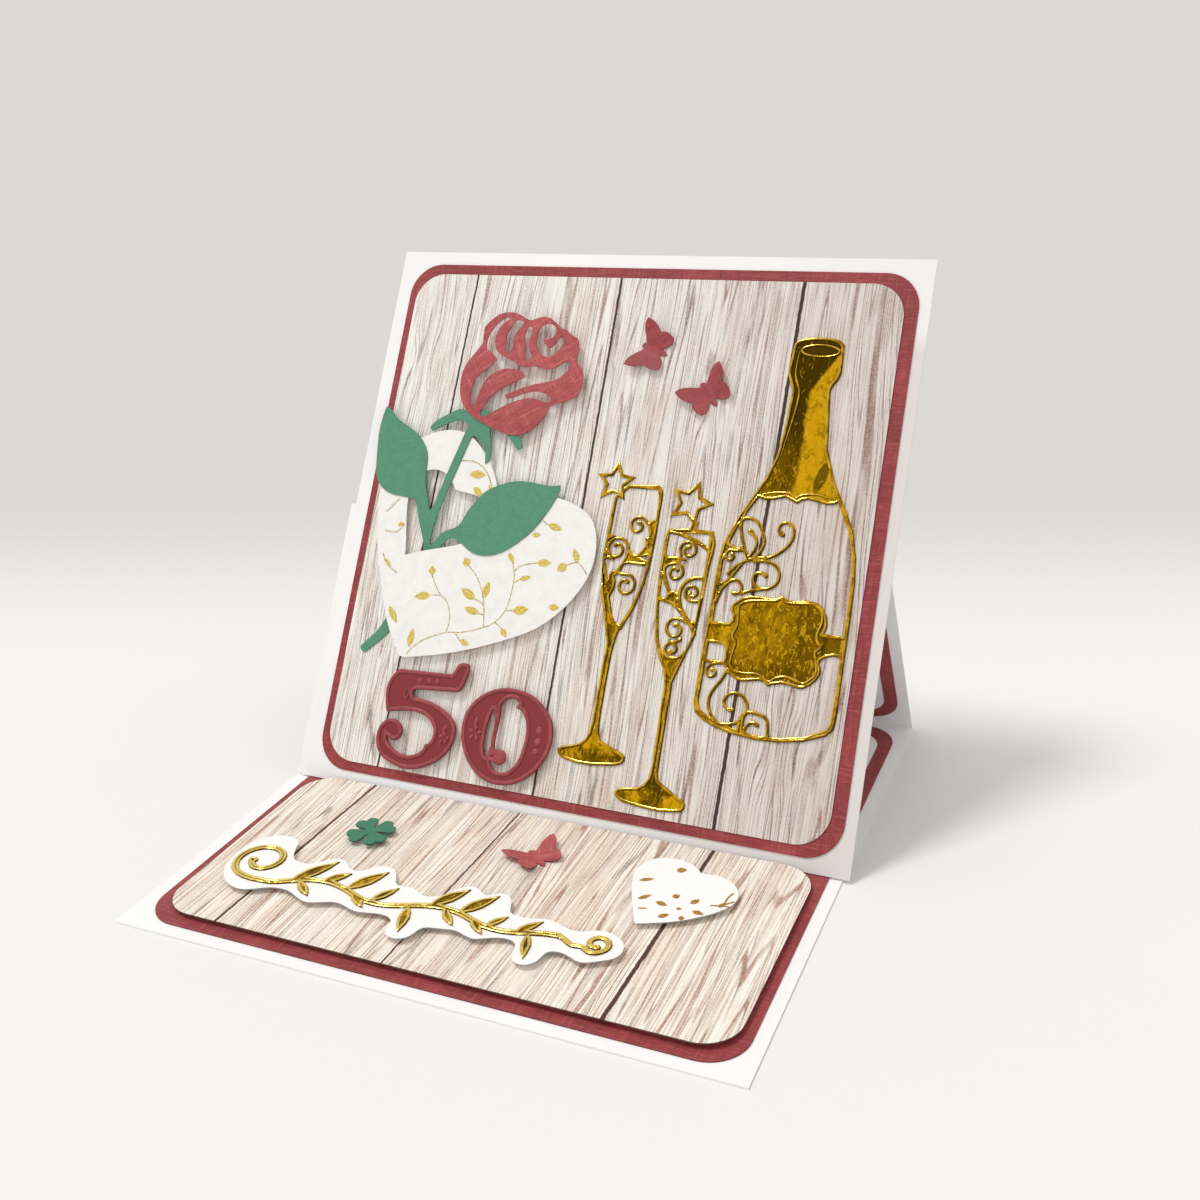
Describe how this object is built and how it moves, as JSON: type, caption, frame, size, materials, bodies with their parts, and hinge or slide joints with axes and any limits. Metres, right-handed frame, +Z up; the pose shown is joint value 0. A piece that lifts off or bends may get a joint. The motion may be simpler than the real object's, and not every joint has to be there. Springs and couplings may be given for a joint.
{
  "type": "greeting card",
  "caption": "Square easel greeting card: a folded sheet holds a tilted panel with layered mats, printed sheet, heart, rose, numerals, gold glasses and bottle",
  "frame": {"origin": "middle of the underside of the base sheet, on the surface the card stands on", "axes": "+Z up; -Y towards the reader, who sees the tilted front panel; +X to the reader's right"},
  "size_m": [0.1517, 0.1498, 0.1288],
  "materials": {
    "pearl_card": "pearl",
    "maroon_card": "linen embossed",
    "printed_card": "printed, matt",
    "white_card": "matt",
    "green_card": "matt",
    "red_card": "satin",
    "gold_mirror_card": "mirror",
    "foam_tape": "matt"
  },
  "bodies": {
    "root": {"easel_sheet": "pearl_card", "front_panel": "pearl_card", "front_mat": "maroon_card", "front_wood_print": "printed_card", "base_mat": "maroon_card", "base_wood_print": "printed_card", "base_note_panel": "white_card", "leg_mat": "maroon_card", "leg_note_panel": "white_card", "base_print_foam": "foam_tape", "heart": "pearl_card", "heart_foam": "foam_tape", "rose_stem": "green_card", "rose_bloom": "maroon_card", "rose_bloom_foam": "foam_tape", "numeral_five": "red_card", "numeral_nought": "red_card", "numeral_foam": "foam_tape", "glass_left": "gold_mirror_card", "glass_right": "gold_mirror_card", "bottle": "gold_mirror_card", "butterfly_1": "red_card", "butterfly_2": "red_card", "butterfly_3": "red_card", "clover": "green_card", "clover_foam": "foam_tape", "small_heart": "pearl_card", "small_heart_foam": "foam_tape", "flourish_backing": "white_card", "flourish_foam": "foam_tape", "flourish": "gold_mirror_card"}
  },
  "joints": []
}
